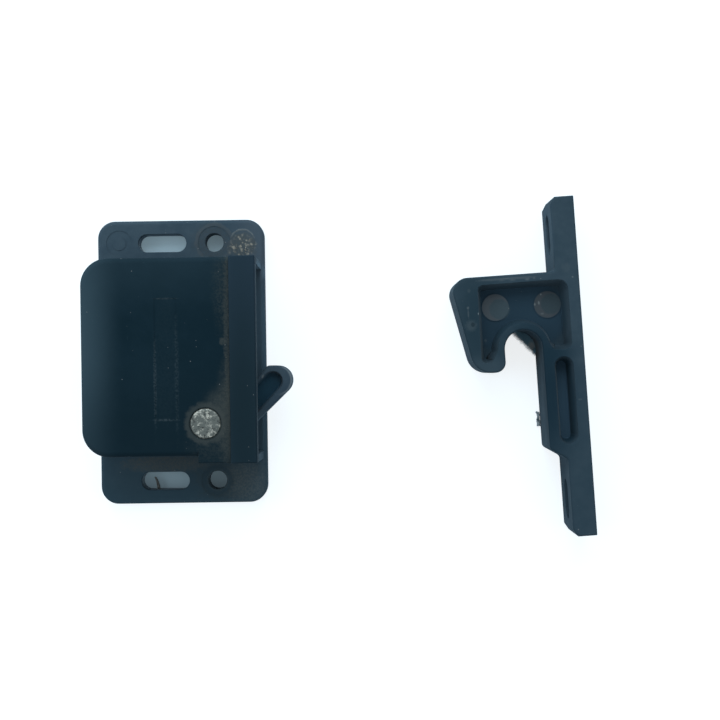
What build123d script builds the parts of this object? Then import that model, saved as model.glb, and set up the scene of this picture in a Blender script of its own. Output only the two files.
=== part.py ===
from build123d import *
import math
import os

# A push-to-close cabinet catch and its hooked strike, lying loose side by side.
# Sizes are in millimetres. The origin is on the back of the catch's mounting plate, midway
# between its two round screw holes. +X points out of the catch's mouth towards the strike,
# +Y runs along the mounting plate, and +Z points out of the plate.
# Pressing the door pushes the strike against the open finger. The finger turns on its pin,
# its spring snaps it over centre, and its tip comes up into the strike's notch and holds it.

# Clearances
running_fit = 0.05
pin_fit = 0.02
seam_gap = 0.05
side_play = 0.2
strike_play = 0.3
linkage_side_play = 0.15
linkage_end_play = 0.47

# Case
case_height = 31.1
case_depth = 26.7
case_corner_radius = 4.2
case_edge_radius = 0.9
case_wall = 1.2
cavity_height = 10.2
cover_thickness = 1.4
case_overhang = 0.53
case_top_offset = 0.25
step_depth = 1.05
step_setback = 9.0
crisp_edge_radius = 0.25

# Front bar and end walls of the mouth
bar_width = 4.03
bar_rise = 1.1
bar_edge_radius = 0.3
end_wall = 1.15

# Mounting plate
plate_thickness = 3.0
plate_corner_radius = 2.8
plate_edge_radius = 0.7
plate_back_radius = 0.3
plate_end_margin = 3.64
front_lip = 0.5

# Screw holes
hole_setback = 7.43
screw_row_gap = 3.5
screw_hole_diameter = 2.95
screw_seat_diameter = 5.2
screw_seat_depth = 0.08
slot_length = 7.7
slot_width = 2.85
slot_setback = 8.35

# Shallow marks left in the mouldings
mark_depth = 0.08
left_mark_diameter = 4.2
right_mark_diameter = 4.0
mark_ring_diameter = 2.1
left_mark_inset = 3.5
right_mark_inset = 3.4
bare_panel_width = 3.4
bare_panel_height = 18.5
bare_panel_setback = 13.75
bare_panel_rise = 0.3

# Pegs that seat the cover on the base
peg_post_radius = 1.9
peg_radius = 1.2
peg_post_height = 5.9
peg_length = 3.1
lower_peg_inset = (4.57, 5.3)
upper_peg_inset = (10.07, 3.15)

# Pivot pin of the finger
pivot_radius = 2.35
pivot_setback = 7.89
pivot_rise = 6.04
pivot_head_radius = 3.3
pivot_head_height = 1.2
pivot_recess = 0.2
pivot_top_recess = 0.05
pivot_chamfer = 0.2

# Lean of the pockets' walls in the finger and the strike
pocket_draft = 12.0

# Finger
finger_thickness = 6.0
finger_reach = 12.45
finger_angle = 30.9
finger_tip_radius = 2.28
finger_lower_angle = 44.0
finger_upper_angle = 50.0
finger_flat = 1.45
finger_flat_radius = 0.9
finger_outer_bend = 3.5
finger_inner_bend = 1.5
finger_edge_radius = 0.3
finger_travel = 40.0
hub_wall = 1.0
pocket_width = 3.1
pocket_setback = 0.55
pocket_shift = 0.38
pocket_length = 8.6
pocket_depth = 1.5

# Crank of the finger and its pin
crank_radius = 5.8
crank_end_radius = 1.7
crank_slot_height = 2.4
crank_lag = 12.1
toggle_pin_radius = 0.8

# Spring, its rod and its rocking seat
anchor_inset = (4.07, 4.95)
anchor_pin_radius = 1.0
anchor_pin_depth = 1.8
anchor_pin_entry = 0.35
anchor_boss_radius = 2.2
anchor_boss_gap = 0.2
swivel_eye_radius = 2.3
swivel_height = 5.4
swivel_flange_radius = 2.6
swivel_flange_thickness = 1.0
swivel_seat_distance = 5.0
swivel_nose_radius = 1.55
swivel_nose_length = 2.0
swivel_bore_end = 2.6
rod_radius = 1.0
rod_tail_gap = 1.0
rod_collar_radius = 2.5
rod_collar_thickness = 0.8
rod_eye_radius = 1.5
rod_eye_thickness = 2.0
rod_neck_length = 2.4
wire_diameter = 0.7
coil_radius = 2.15
coil_turns = 8
coil_end_gap = 0.05

# Strike
strike_length = 52.95
strike_plate_thickness = 3.7
strike_end_chamfer = (0.7, 1.2)
strike_slot_spacing = 41.9
strike_slot_length = 6.3
strike_slot_width = 3.2
strike_edge_radius = 0.35
hook_start = 11.6
hook_end = 26.65
hook_reach = 20.25
hook_rake = 12.1
hook_corner_radius = 2.3
hook_root_radius = 0.6
lip_outer_radius = 3.2
lip_inner_radius = 1.6
notch_distance = 9.35
notch_along = 23.24
notch_radius = 2.95
boss_end = 39.1
boss_slope = 1.75
boss_radius = 0.85

# Sunk pockets in both faces of the strike
pocket_web = 2.8
pocket_back_rim = 1.85
pocket_top = 12.9
pocket_corner = 15.9
pocket_lower_corner = 16.1
pocket_tail = 25.1
pocket_foot = 23.75
notch_rim = 1.05
pocket_tail_width = 1.8
pocket_foot_width = 2.9
notch_rim_end = 22.4
pocket_foot_radius = 0.8
pocket_back_radius = 0.95
pocket_top_radius = 1.4
pocket_nose_radius = 0.95
pocket_tail_radius = 0.85
stem_pocket_width = 2.95
stem_pocket_start = 24.85
stem_pocket_end = 38.5
ejector_diameter = 4.35
ejector_places = ((13.0, 16.4), (4.78, 16.5))
ejector_height = 0.12

# Where the strike lies beside the catch
strike_tilt = 3.23
strike_corner = (56.6, 24.9)

# Places that follow from these sizes
bar_front_x = hole_setback
bar_back_x = bar_front_x - bar_width
case_left_x = bar_front_x - case_depth
case_top_y = case_height / 2
case_end_y = case_top_y + case_top_offset
front_edge_x = bar_front_x + front_lip
plate_width = case_depth + front_lip - case_overhang
plate_left_x = front_edge_x - plate_width
hole_spacing = case_height + 2 * screw_row_gap
plate_height = hole_spacing + 2 * plate_end_margin
root_z = plate_thickness / 2
ceiling_z = plate_thickness + cavity_height
cover_top_z = ceiling_z + cover_thickness
bar_top_z = cover_top_z + bar_rise
middle_z = plate_thickness + cavity_height / 2
strike_thickness = cavity_height - 2 * strike_play
pivot = (bar_front_x - pivot_setback, pivot_rise - case_top_y)
anchor = (case_left_x + anchor_inset[0], case_top_y - anchor_inset[1])
hub_radius = pivot_radius + running_fit + hub_wall
BOTTOM = (Align.CENTER, Align.CENTER, Align.MIN)


def polar(start, distance, degrees):
    """The point a distance away from another, in a direction."""
    turn = math.radians(degrees)
    return (start[0] + distance * math.cos(turn), start[1] + distance * math.sin(turn))


def direction(start, end):
    """The direction from one point to another, in degrees."""
    return math.degrees(math.atan2(end[1] - start[1], end[0] - start[0]))


def meet_level(point, degrees, level):
    """Where a line through a point, in a direction, reaches a level in Y."""
    return (point[0] + (level - point[1]) / math.tan(math.radians(degrees)), level)


def rod(radius, low, high, place=(0, 0)):
    """A round solid along Z between two heights."""
    return Pos(place[0], place[1], low) * Cylinder(radius, high - low, align=BOTTOM)


def block(low, high):
    """A box between two corners."""
    size = [high[i] - low[i] for i in range(3)]
    return Pos(*low) * Box(*size, align=(Align.MIN, Align.MIN, Align.MIN))


def top_edges(solid):
    return solid.edges().group_by(Axis.Z)[-1]


def bottom_edges(solid):
    return solid.edges().group_by(Axis.Z)[0]


crank_rest = direction(pivot, anchor) - crank_lag
crank_pin = polar(pivot, crank_radius, crank_rest)
spring_rest = direction(anchor, crank_pin)
spring_line = math.dist(anchor, crank_pin)
closed_pin = polar(pivot, crank_radius, crank_rest + finger_travel)
swivel_ratio = (direction(anchor, closed_pin) - spring_rest) / finger_travel
rod_travel = math.dist(anchor, closed_pin) - spring_line


def along_spring(solid):
    """Moves a solid built along +X from the anchor on to the spring's line."""
    return Pos(anchor[0], anchor[1], middle_z) * Rot(0, 0, spring_rest) * solid


def lengthwise(radius, start, end):
    """A round solid along +X between two distances."""
    return Pos(start, 0, 0) * Rot(0, 90, 0) * Cylinder(radius, end - start, align=BOTTOM)


def ejector_mark(diameter, x, y):
    """A shallow round mark in the plate's face."""
    return rod(diameter / 2, plate_thickness - mark_depth, plate_thickness, (x, y))


def mounting_plate():
    middle_x = (plate_left_x + front_edge_x) / 2
    plate = extrude(Pos(middle_x, 0) * RectangleRounded(plate_width, plate_height, plate_corner_radius),
                    plate_thickness)
    plate = fillet(top_edges(plate), plate_edge_radius)
    plate = fillet(bottom_edges(plate), plate_back_radius)
    for y in (hole_spacing / 2, -hole_spacing / 2):
        plate -= rod(screw_hole_diameter / 2, 0, plate_thickness, (0, y))
        plate -= rod(screw_seat_diameter / 2, plate_thickness - screw_seat_depth, plate_thickness, (0, y))
        plate -= extrude(Pos(-slot_setback, y) * SlotOverall(slot_length, slot_width), plate_thickness)
    mark_y = hole_spacing / 2
    left_mark_x = plate_left_x + left_mark_inset
    plate -= ejector_mark(left_mark_diameter, left_mark_x, mark_y)
    plate += ejector_mark(mark_ring_diameter, left_mark_x, mark_y)
    plate -= ejector_mark(right_mark_diameter, front_edge_x - right_mark_inset, mark_y)
    return plate


def peg_places():
    """The lower left and upper right pegs, measured from the case's left side and ends."""
    lower = (case_left_x + lower_peg_inset[0], lower_peg_inset[1] - case_top_y)
    upper = (case_left_x + upper_peg_inset[0], case_top_y - upper_peg_inset[1])
    return lower, upper


def base_frame():
    """Mounting plate, end walls of the mouth and the bar that bridges them, one moulding."""
    base = mounting_plate()
    bar = block((bar_back_x, -case_top_y, ceiling_z), (bar_front_x, case_end_y, bar_top_z))
    bar = fillet(top_edges(bar), bar_edge_radius)
    base += bar
    for low_y in (-case_top_y, case_end_y - end_wall):
        base += block((bar_back_x, low_y, root_z), (bar_front_x, low_y + end_wall, ceiling_z))
    for place in peg_places():
        post_top = plate_thickness + peg_post_height
        base += rod(peg_post_radius, root_z, post_top, place)
        base += rod(peg_radius, post_top, post_top + peg_length, place)
    boss_top = middle_z - swivel_height / 2 - anchor_boss_gap
    base += rod(anchor_boss_radius, root_z, boss_top, anchor)
    base -= rod(anchor_pin_radius + pin_fit, plate_thickness - anchor_pin_depth, boss_top, anchor)
    base -= rod(pivot_radius + pin_fit, 0, plate_thickness, pivot)
    head_top = pivot_recess + pivot_head_height
    base -= rod(pivot_head_radius + seam_gap, 0, head_top + seam_gap, pivot)
    return base


def case_block(low_y, high_y, low_z, high_z, left_x, corner_radius, right_x):
    """A slab of the case's shape: square at the bar and rounded at the two left corners."""
    slab = Pos((left_x + right_x) / 2, (low_y + high_y) / 2) * Rectangle(right_x - left_x, high_y - low_y)
    slab = fillet(slab.vertices().group_by(Axis.X)[0], corner_radius)
    return Pos(0, 0, low_z) * extrude(slab, high_z - low_z)


def case_cover():
    """The shell over the works: open towards the plate and towards the mouth."""
    right_x = bar_back_x - seam_gap
    low_y = step_depth - case_top_y
    high_y = case_end_y
    cover = case_block(low_y, high_y, plate_thickness, cover_top_z,
                       case_left_x, case_corner_radius, right_x)
    rim = [edge for edge in top_edges(cover) if edge.center().X < right_x - seam_gap]
    cover = fillet(rim, case_edge_radius)
    step_x = bar_front_x - step_setback
    ledge = block((step_x, -case_top_y, plate_thickness), (right_x, low_y + case_wall, cover_top_z))
    ledge = fillet(ledge.edges().filter_by(Axis.X).group_by(Axis.Z)[-1].group_by(Axis.Y)[0],
                   crisp_edge_radius)
    cover += ledge
    cover -= case_block(low_y + case_wall, high_y - case_wall, plate_thickness, ceiling_z,
                        case_left_x + case_wall, case_corner_radius - case_wall, right_x + case_wall)
    cover -= block((step_x + case_wall, end_wall - case_top_y, plate_thickness),
                   (right_x + case_wall, low_y + 2 * case_wall, ceiling_z))
    cover -= rod(hub_radius + side_play, plate_thickness, ceiling_z, pivot)
    post_top = plate_thickness + peg_post_height
    for place in peg_places():
        cover += rod(peg_post_radius, post_top + seam_gap, ceiling_z + seam_gap, place)
        cover -= rod(peg_radius + running_fit, post_top, post_top + peg_length + side_play, place)
    boss_low = middle_z + swivel_height / 2 + anchor_boss_gap
    cover += rod(anchor_boss_radius, boss_low, ceiling_z + seam_gap, anchor)
    cover -= rod(anchor_pin_radius + pin_fit, boss_low, anchor_pin_top() + side_play, anchor)
    cover -= rod(pivot_radius + pin_fit, ceiling_z - side_play, cover_top_z, pivot)
    panel_x = bar_front_x - bare_panel_setback
    cover -= block((panel_x - bare_panel_width / 2, bare_panel_rise - bare_panel_height / 2,
                    cover_top_z - mark_depth),
                   (panel_x + bare_panel_width / 2, bare_panel_rise + bare_panel_height / 2, cover_top_z))
    return cover


def anchor_pin_top():
    return ceiling_z + anchor_pin_entry


def pivot_pin():
    """Headed steel pin: its head sits sunk in the plate's back, its end shows in the cover."""
    top = cover_top_z - pivot_top_recess
    pin = chamfer(top_edges(rod(pivot_radius, pivot_recess, top, pivot)), pivot_chamfer)
    return pin + rod(pivot_head_radius, pivot_recess, pivot_recess + pivot_head_height, pivot)


def swivel_pin():
    return rod(anchor_pin_radius, plate_thickness - anchor_pin_depth + pin_fit, anchor_pin_top(), anchor)


def finger_tip():
    return polar(pivot, finger_reach, finger_angle)


def finger_face():
    """Outline of the finger: hub, bend and blade, whose round tip runs into a short flat."""
    tip = finger_tip()
    hub_low = (pivot[0], pivot[1] - hub_radius)
    hub_high = (pivot[0], pivot[1] + hub_radius)
    flat_level = tip[1] + finger_tip_radius
    lower_tangent = polar(tip, finger_tip_radius, finger_lower_angle - 90)
    flat_end = (tip[0] - finger_flat, flat_level)
    outline = [
        (hub_low, 0),
        (meet_level(lower_tangent, finger_lower_angle, hub_low[1]), finger_outer_bend),
        (meet_level(lower_tangent, finger_lower_angle, flat_level), finger_tip_radius),
        (flat_end, finger_flat_radius),
        (meet_level(flat_end, finger_upper_angle, hub_high[1]), finger_inner_bend),
        (hub_high, 0),
    ]
    radii = [radius for point, radius in outline[1:-1]]
    lines = [
        FilletPolyline(*[point for point, radius in outline], radius=radii),
        ThreePointArc(hub_high, (pivot[0] - hub_radius, pivot[1]), hub_low),
    ]
    return make_face(Curve() + lines)


def latch_finger():
    """Finger with a sunk pocket in both faces, its hub and the forked crank for the spring rod."""
    low_z = middle_z - finger_thickness / 2
    high_z = middle_z + finger_thickness / 2
    finger = Pos(0, 0, low_z) * extrude(finger_face(), finger_thickness)
    finger = fillet(top_edges(finger) + bottom_edges(finger), finger_edge_radius)
    lean = (finger_lower_angle + finger_upper_angle) / 2
    pocket_back = pocket_setback + (pocket_length - pocket_width) / 2
    pocket_middle = polar(polar(finger_tip(), -pocket_back, lean), pocket_shift, lean + 90)
    inset = pocket_depth * math.tan(math.radians(pocket_draft))
    pocket_floor = SlotOverall(pocket_length - 2 * inset, pocket_width - 2 * inset)
    pocket = loft([SlotOverall(pocket_length, pocket_width), Pos(0, 0, pocket_depth) * pocket_floor],
                  ruled=True)
    pocket = Pos(*pocket_middle, low_z) * Rot(0, 0, lean) * pocket
    finger -= pocket
    finger -= mirror(pocket, about=Plane.XY.offset(middle_z))
    crank = Rot(0, 0, crank_rest) * SlotCenterToCenter(crank_radius, 2 * crank_end_radius)
    crank_middle = polar(pivot, crank_radius / 2, crank_rest)
    finger += Pos(*crank_middle, low_z) * extrude(crank, finger_thickness)
    finger += rod(hub_radius, plate_thickness + side_play, ceiling_z - side_play, pivot)
    fork_radius = rod_eye_radius + linkage_end_play + linkage_side_play
    fork_half = crank_slot_height / 2
    finger -= rod(fork_radius, middle_z - fork_half, middle_z + fork_half, crank_pin)
    finger -= rod(toggle_pin_radius + pin_fit, low_z, high_z, crank_pin)
    finger -= rod(pivot_radius + running_fit, plate_thickness, ceiling_z, pivot)
    return finger


def toggle_pin():
    low_z = middle_z - finger_thickness / 2 + pin_fit
    high_z = middle_z + finger_thickness / 2 - pin_fit
    return rod(toggle_pin_radius, low_z, high_z, crank_pin)


def collar_face():
    """Distance from the anchor to the rod's collar, where the spring bears."""
    return spring_line - rod_neck_length - rod_collar_thickness


def spring_rod():
    """Guide rod: a flat eye on the toggle pin, a collar for the spring and a plain shank."""
    shank_end = swivel_bore_end + rod_tail_gap
    collar = collar_face()
    guide = lengthwise(rod_radius, shank_end, collar + rod_collar_thickness)
    guide += lengthwise(rod_collar_radius, collar, collar + rod_collar_thickness)
    neck = block((collar, -rod_radius, -rod_eye_thickness / 2),
                 (spring_line, rod_radius, rod_eye_thickness / 2))
    guide += neck
    guide += rod(rod_eye_radius, -rod_eye_thickness / 2, rod_eye_thickness / 2, (spring_line, 0))
    hole_radius = toggle_pin_radius + linkage_side_play
    hole_length = 2 * hole_radius + linkage_end_play
    hole = Pos(spring_line - linkage_end_play / 2, 0) * SlotOverall(hole_length, 2 * hole_radius)
    guide -= Pos(0, 0, -rod_eye_thickness / 2) * extrude(hole, rod_eye_thickness)
    return along_spring(guide)


def spring_swivel():
    """Rocking seat: an eye on its pin, a flange for the spring and a hollow nose for the rod."""
    half = swivel_height / 2
    seat = rod(swivel_eye_radius, -half, half)
    arm_half = swivel_eye_radius - side_play
    seat += block((0, -arm_half, -half), (swivel_seat_distance - swivel_flange_thickness, arm_half, half))
    seat += lengthwise(swivel_flange_radius, swivel_seat_distance - swivel_flange_thickness,
                       swivel_seat_distance)
    nose_end = swivel_seat_distance + swivel_nose_length
    seat += lengthwise(swivel_nose_radius, swivel_seat_distance, nose_end)
    seat -= lengthwise(rod_radius + running_fit, swivel_bore_end, nose_end)
    seat -= rod(anchor_pin_radius + running_fit, -half, half)
    return along_spring(seat)


def coil_point(turn, start, pitch):
    """A point of the coil's centre line, after a number of turns from its start."""
    angle = 2 * math.pi * turn
    return Vector(start + pitch * turn, coil_radius * math.cos(angle), coil_radius * math.sin(angle))


def coil_heading(turn, pitch):
    angle = 2 * math.pi * turn
    sweep = 2 * math.pi * coil_radius
    return Vector(pitch, -sweep * math.sin(angle), sweep * math.cos(angle)).normalized()


def joined_arcs(start, start_heading, end, end_heading):
    """Two arcs that leave the start and reach the end in the given directions."""
    span = end - start
    both = start_heading + end_heading
    bend = 2 * (1 - start_heading.dot(end_heading))
    along = span.dot(both)
    reach = (math.sqrt(along * along + bend * span.dot(span)) - along) / bend
    middle = (start + start_heading * reach + end - end_heading * reach) * 0.5
    first = TangentArc(start, middle, tangent=start_heading)
    return [first, TangentArc(middle, end, tangent=first % 1)]


def toggle_spring():
    """Steel compression spring round the rod, between the swivel's flange and the rod's collar."""
    start = swivel_seat_distance + coil_end_gap + wire_diameter / 2
    end = collar_face() - coil_end_gap - wire_diameter / 2
    pitch = (end - start) / coil_turns
    path = []
    for quarter in range(4 * coil_turns):
        turn, turn_end = quarter / 4, (quarter + 1) / 4
        path += joined_arcs(coil_point(turn, start, pitch), coil_heading(turn, pitch),
                            coil_point(turn_end, start, pitch), coil_heading(turn_end, pitch))
    wire = Plane(coil_point(0, start, pitch), z_dir=coil_heading(0, pitch)) * Circle(wire_diameter / 2)
    print("spring: turns", coil_turns, "least gap between turns", round(pitch - wire_diameter, 3))
    return along_spring(sweep(wire, path=Curve() + path))


def strike_face():
    """Side outline of the strike: x is the distance out from its back, y runs down its plate."""
    rake = math.tan(math.radians(hook_rake))
    nose = (hook_reach, hook_start)
    lip_outer = (hook_reach - (hook_end - hook_start) * rake, hook_end)
    notch_left = (notch_distance + notch_radius, notch_along)
    notch_right = (notch_distance - notch_radius, notch_along)
    lip_inner = (notch_left[0], hook_end)
    outer_share = lip_outer_radius * math.tan(math.radians((90 - hook_rake) / 2))
    lip_room = lip_outer[0] - lip_inner[0] - outer_share - running_fit
    inner_radius = min(lip_inner_radius, lip_room)
    boss_face_end = (notch_right[0], boss_end)
    boss_foot = (strike_plate_thickness, boss_end + boss_slope)
    chamfer_out, chamfer_along = strike_end_chamfer
    plate_front = strike_plate_thickness
    notch_top = (notch_distance, notch_along - notch_radius)
    lines = [
        FilletPolyline(notch_left, lip_inner, lip_outer, nose, (plate_front, hook_start),
                       (plate_front, chamfer_along),
                       radius=[inner_radius, lip_outer_radius, hook_corner_radius, hook_root_radius]),
        Polyline((plate_front, chamfer_along), (plate_front - chamfer_out, 0), (0, 0),
                 (0, strike_length), (plate_front - chamfer_out, strike_length),
                 (plate_front, strike_length - chamfer_along)),
        FilletPolyline((plate_front, strike_length - chamfer_along), boss_foot, boss_face_end, notch_right,
                       radius=boss_radius),
        ThreePointArc(notch_right, notch_top, notch_left),
    ]
    return make_face(Curve() + lines)


def hook_pocket_face(inset=0.0):
    """The pocket in the hook, which follows the notch along one side."""
    arc_radius = notch_radius + notch_rim + inset
    fall = notch_along - notch_rim_end
    near = (notch_distance - math.sqrt(arc_radius ** 2 - fall ** 2), notch_rim_end)
    far = (notch_distance + arc_radius, notch_along)
    foot, tail = pocket_foot - inset, pocket_tail - inset
    back, top = pocket_back_rim + inset, pocket_top + inset
    outline = [
        (near, 0),
        ((pocket_back_rim + pocket_foot_width - inset, foot), pocket_foot_radius),
        ((back, foot), pocket_back_radius),
        ((back, top), pocket_top_radius),
        ((pocket_corner - inset, top), pocket_nose_radius),
        ((pocket_lower_corner - inset, tail), pocket_tail_radius),
        ((pocket_lower_corner - pocket_tail_width + inset, tail), pocket_tail_radius),
        (far, 0),
    ]
    radii = [radius - inset for point, radius in outline[1:-1]]
    lines = [
        FilletPolyline(*[point for point, radius in outline], radius=radii),
        ThreePointArc(far, (notch_distance, notch_along - arc_radius), near),
    ]
    return make_face(Curve() + lines)


def stem_pocket_face(inset=0.0):
    length = stem_pocket_end - stem_pocket_start
    middle = (pocket_back_rim + stem_pocket_width / 2, stem_pocket_start + length / 2)
    slot = SlotOverall(length - 2 * inset, stem_pocket_width - 2 * inset)
    return Pos(*middle) * Rot(0, 0, 90) * slot


def strike():
    """Hook and plate, one moulding, lying on its side and turned a little, as it was laid down."""
    hook = extrude(strike_face(), strike_thickness)
    hook = fillet(top_edges(hook) + bottom_edges(hook), strike_edge_radius)
    depth = (strike_thickness - pocket_web) / 2
    inset = depth * math.tan(math.radians(pocket_draft))
    for outline in (hook_pocket_face, stem_pocket_face):
        cut = loft([outline(), Pos(0, 0, depth) * outline(inset)], ruled=True)
        hook -= cut
        hook -= mirror(cut, about=Plane.XY.offset(strike_thickness / 2))
    for place in ejector_places:
        hook += rod(ejector_diameter / 2, depth, strike_thickness - depth + ejector_height, place)
    slot = extrude(Rot(0, 0, 90) * SlotOverall(strike_slot_length, strike_slot_width),
                   strike_plate_thickness, both=True)
    for along in (-strike_slot_spacing / 2, strike_slot_spacing / 2):
        hook -= Pos(0, strike_length / 2 + along, strike_thickness / 2) * Rot(0, 90, 0) * slot
    lying = Rot(0, 0, 180) * hook
    return Pos(strike_corner[0], strike_corner[1], 0) * Rot(0, 0, strike_tilt) * lying


pieces = {
    "base_frame": base_frame,
    "case_cover": case_cover,
    "pivot_pin": pivot_pin,
    "latch_finger": latch_finger,
    "toggle_pin": toggle_pin,
    "spring_rod": spring_rod,
    "toggle_spring": toggle_spring,
    "spring_swivel": spring_swivel,
    "swivel_pin": swivel_pin,
    "strike": strike,
}

os.makedirs("parts", exist_ok=True)
for name, make in pieces.items():
    export_step(make(), f"parts/{name}.step")
print("linkage: swivel turns", round(swivel_ratio, 5), "degrees a degree, rod slides", round(rod_travel, 4))
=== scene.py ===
import math
import random

import bmesh
import bpy
from bpy.props import FloatProperty, FloatVectorProperty, IntProperty, PointerProperty
from mathutils import Matrix, Vector, noise


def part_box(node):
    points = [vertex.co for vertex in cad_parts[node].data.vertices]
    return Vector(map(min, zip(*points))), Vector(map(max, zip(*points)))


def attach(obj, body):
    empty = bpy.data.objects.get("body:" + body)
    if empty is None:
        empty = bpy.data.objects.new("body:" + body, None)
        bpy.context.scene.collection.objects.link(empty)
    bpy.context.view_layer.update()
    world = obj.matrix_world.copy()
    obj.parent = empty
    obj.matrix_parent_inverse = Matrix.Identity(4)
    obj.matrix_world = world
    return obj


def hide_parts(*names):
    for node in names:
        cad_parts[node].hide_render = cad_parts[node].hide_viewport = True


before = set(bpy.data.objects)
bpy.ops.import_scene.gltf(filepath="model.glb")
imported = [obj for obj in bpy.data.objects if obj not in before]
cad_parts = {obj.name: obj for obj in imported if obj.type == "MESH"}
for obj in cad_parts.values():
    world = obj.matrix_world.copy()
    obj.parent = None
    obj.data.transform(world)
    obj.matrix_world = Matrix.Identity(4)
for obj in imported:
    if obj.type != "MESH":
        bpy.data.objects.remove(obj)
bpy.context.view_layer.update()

bl_info = {
    "name": "Cabinet catch looks",
    "version": (1, 0, 0),
    "blender": (4, 5, 0),
    "location": "3D Viewport > Sidebar > Catch",
    "description": "Finishes a push-to-close cabinet catch and its hooked strike "
                   "around their fixed frame",
    "category": "Object",
}

MM = 0.001
BASE_LOW, BASE_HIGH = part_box("base_frame")
COVER_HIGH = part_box("case_cover")[1]
PIN_LOW, PIN_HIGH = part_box("pivot_pin")
PLATE_TOP = 3.0 * MM
BAR_FOOT = COVER_HIGH.x
PIN_CENTRE = (PIN_LOW + PIN_HIGH) / 2
SCREW_ROW = 19.05 * MM
RESIDUE_MARK = Vector((4.53 * MM, SCREW_ROW, PLATE_TOP))
STRIKE_CORNER = Vector((56.6 * MM, 24.9 * MM, 0.0))
STRIKE_TILT = math.radians(3.23)

# On the strike, in its own millimetres.
NOTCH = (9.35, 23.24)
NOTCH_RADIUS = 2.95

# Name, place, side and share of the soft box's power.
LAMPS = (
    ("soft_box_far", (0.0, 0.30, 0.26), 0.34, 1.0),
    ("soft_box_left", (-0.32, 0.04, 0.22), 0.28, 0.4),
    ("soft_box_right", (0.40, -0.12, 0.26), 0.30, 0.2),
)
LAMP_AIM = Vector((0.02, 0.0, 0.0))

ORIGIN = (0.0, 0.0, 0.0)
WHITE = (1.0, 1.0, 1.0, 1.0)


class CatchStage(bpy.types.PropertyGroup):
    """Camera, floor and light."""

    camera_height: FloatProperty(
        name="Camera height", description="Height of the camera above the table",
        default=0.209, min=0.05, unit="LENGTH")
    camera_place: FloatVectorProperty(
        name="Camera place", description="Where the camera stands over the table",
        default=(23.06 * MM, -1.84 * MM), size=2, subtype="XYZ")
    camera_roll: FloatProperty(
        name="Camera roll", description="Turn of the camera about its own line of sight",
        default=math.radians(-0.85), subtype="ANGLE")
    camera_shift: FloatProperty(
        name="Camera shift",
        description="Shift of the picture along its height, as a share of its width",
        default=0.0147)
    lens: FloatProperty(
        name="Lens", description="Focal length on a 36 mm sensor, in millimetres",
        default=64.25, min=10.0)
    floor_size: FloatProperty(
        name="Floor size", description="Side of the square floor", default=4.0, unit="LENGTH")
    floor_colour: FloatVectorProperty(
        name="Floor colour", description="Colour of the pale floor",
        default=(0.29, 0.43, 0.52), size=3, subtype="COLOR")
    floor_glow: FloatProperty(
        name="Floor glow", description="What lifts the floor to white in the picture",
        default=0.78, min=0.0)
    world_light: FloatProperty(
        name="Room light", description="Even light from all round", default=0.5, min=0.0)
    key_light: FloatProperty(
        name="Soft box", description="Power of the large soft lamp, in watts", default=1.0, min=0.0)


class CatchPlastic(bpy.types.PropertyGroup):
    """Colours of the moulded plastic."""

    plate_dark: FloatVectorProperty(
        name="Plate, dark", description="Darker tone of the mounting plate",
        default=(0.030, 0.055, 0.081), size=3, subtype="COLOR")
    plate_light: FloatVectorProperty(
        name="Plate, light", description="Lighter tone of the mounting plate",
        default=(0.043, 0.073, 0.101), size=3, subtype="COLOR")
    cover_dark: FloatVectorProperty(
        name="Cover, dark", description="Darker tone of the case cover",
        default=(0.0007, 0.0083, 0.0160), size=3, subtype="COLOR")
    cover_light: FloatVectorProperty(
        name="Cover, light", description="Lighter tone of the case cover",
        default=(0.0020, 0.0110, 0.0205), size=3, subtype="COLOR")
    strike_dark: FloatVectorProperty(
        name="Strike, dark", description="Darker tone of the strike",
        default=(0.0275, 0.0525, 0.0750), size=3, subtype="COLOR")
    strike_light: FloatVectorProperty(
        name="Strike, light", description="Lighter tone of the strike",
        default=(0.0370, 0.0650, 0.0895), size=3, subtype="COLOR")
    scuff: FloatVectorProperty(
        name="Scuffed edge", description="Colour where edges are rubbed",
        default=(0.052, 0.094, 0.128), size=3, subtype="COLOR")
    film: FloatVectorProperty(
        name="Dusty film", description="What a thin even film of dust adds to the catch's colours",
        default=(0.0036, 0.0072, 0.0092), size=3, subtype="COLOR")
    roughness: FloatProperty(
        name="Roughness", description="Roughness of clean plastic", default=0.68, min=0.0, max=1.0)
    edge_width: FloatProperty(
        name="Edge width", description="Width of the softened edges",
        default=0.11 * MM, unit="LENGTH")


class CatchDirt(bpy.types.PropertyGroup):
    """Dust, grime and dried residue."""

    brown: FloatVectorProperty(
        name="Grime", description="Brown grime in corners",
        default=(0.041, 0.051, 0.051), size=3, subtype="COLOR")
    dust: FloatVectorProperty(
        name="Dust", description="Pale dust specks",
        default=(0.26, 0.30, 0.32), size=3, subtype="COLOR")
    crust: FloatVectorProperty(
        name="Crust", description="Dried residue on the plate",
        default=(0.25, 0.265, 0.24), size=3, subtype="COLOR")
    crust_grains: IntProperty(
        name="Crust grains", description="Grains of dried residue on the plate",
        default=150, min=0)
    foot_grains: IntProperty(
        name="Foot grains", description="Grains of dirt along the foot of the bar",
        default=160, min=0)
    seed: IntProperty(name="Seed", description="Seed of the scattered grains", default=11)


def settings():
    scene = bpy.context.scene
    return scene.catch_stage, scene.catch_plastic, scene.catch_dirt


def rgba(colour):
    return (*colour, 1.0)


def plug(tree, made, inputs):
    """Links a node's inputs to sockets, or sets them to plain values."""
    for name, value in inputs.items():
        if isinstance(value, bpy.types.NodeSocket):
            tree.links.new(value, made.inputs[name])
        else:
            made.inputs[name].default_value = value


def node(tree, kind, inputs=None, **values):
    """Adds a node, sets its values, and sets or links its inputs."""
    made = tree.nodes.new(kind)
    for name, value in values.items():
        setattr(made, name, value)
    plug(tree, made, inputs or {})
    return made


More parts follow.
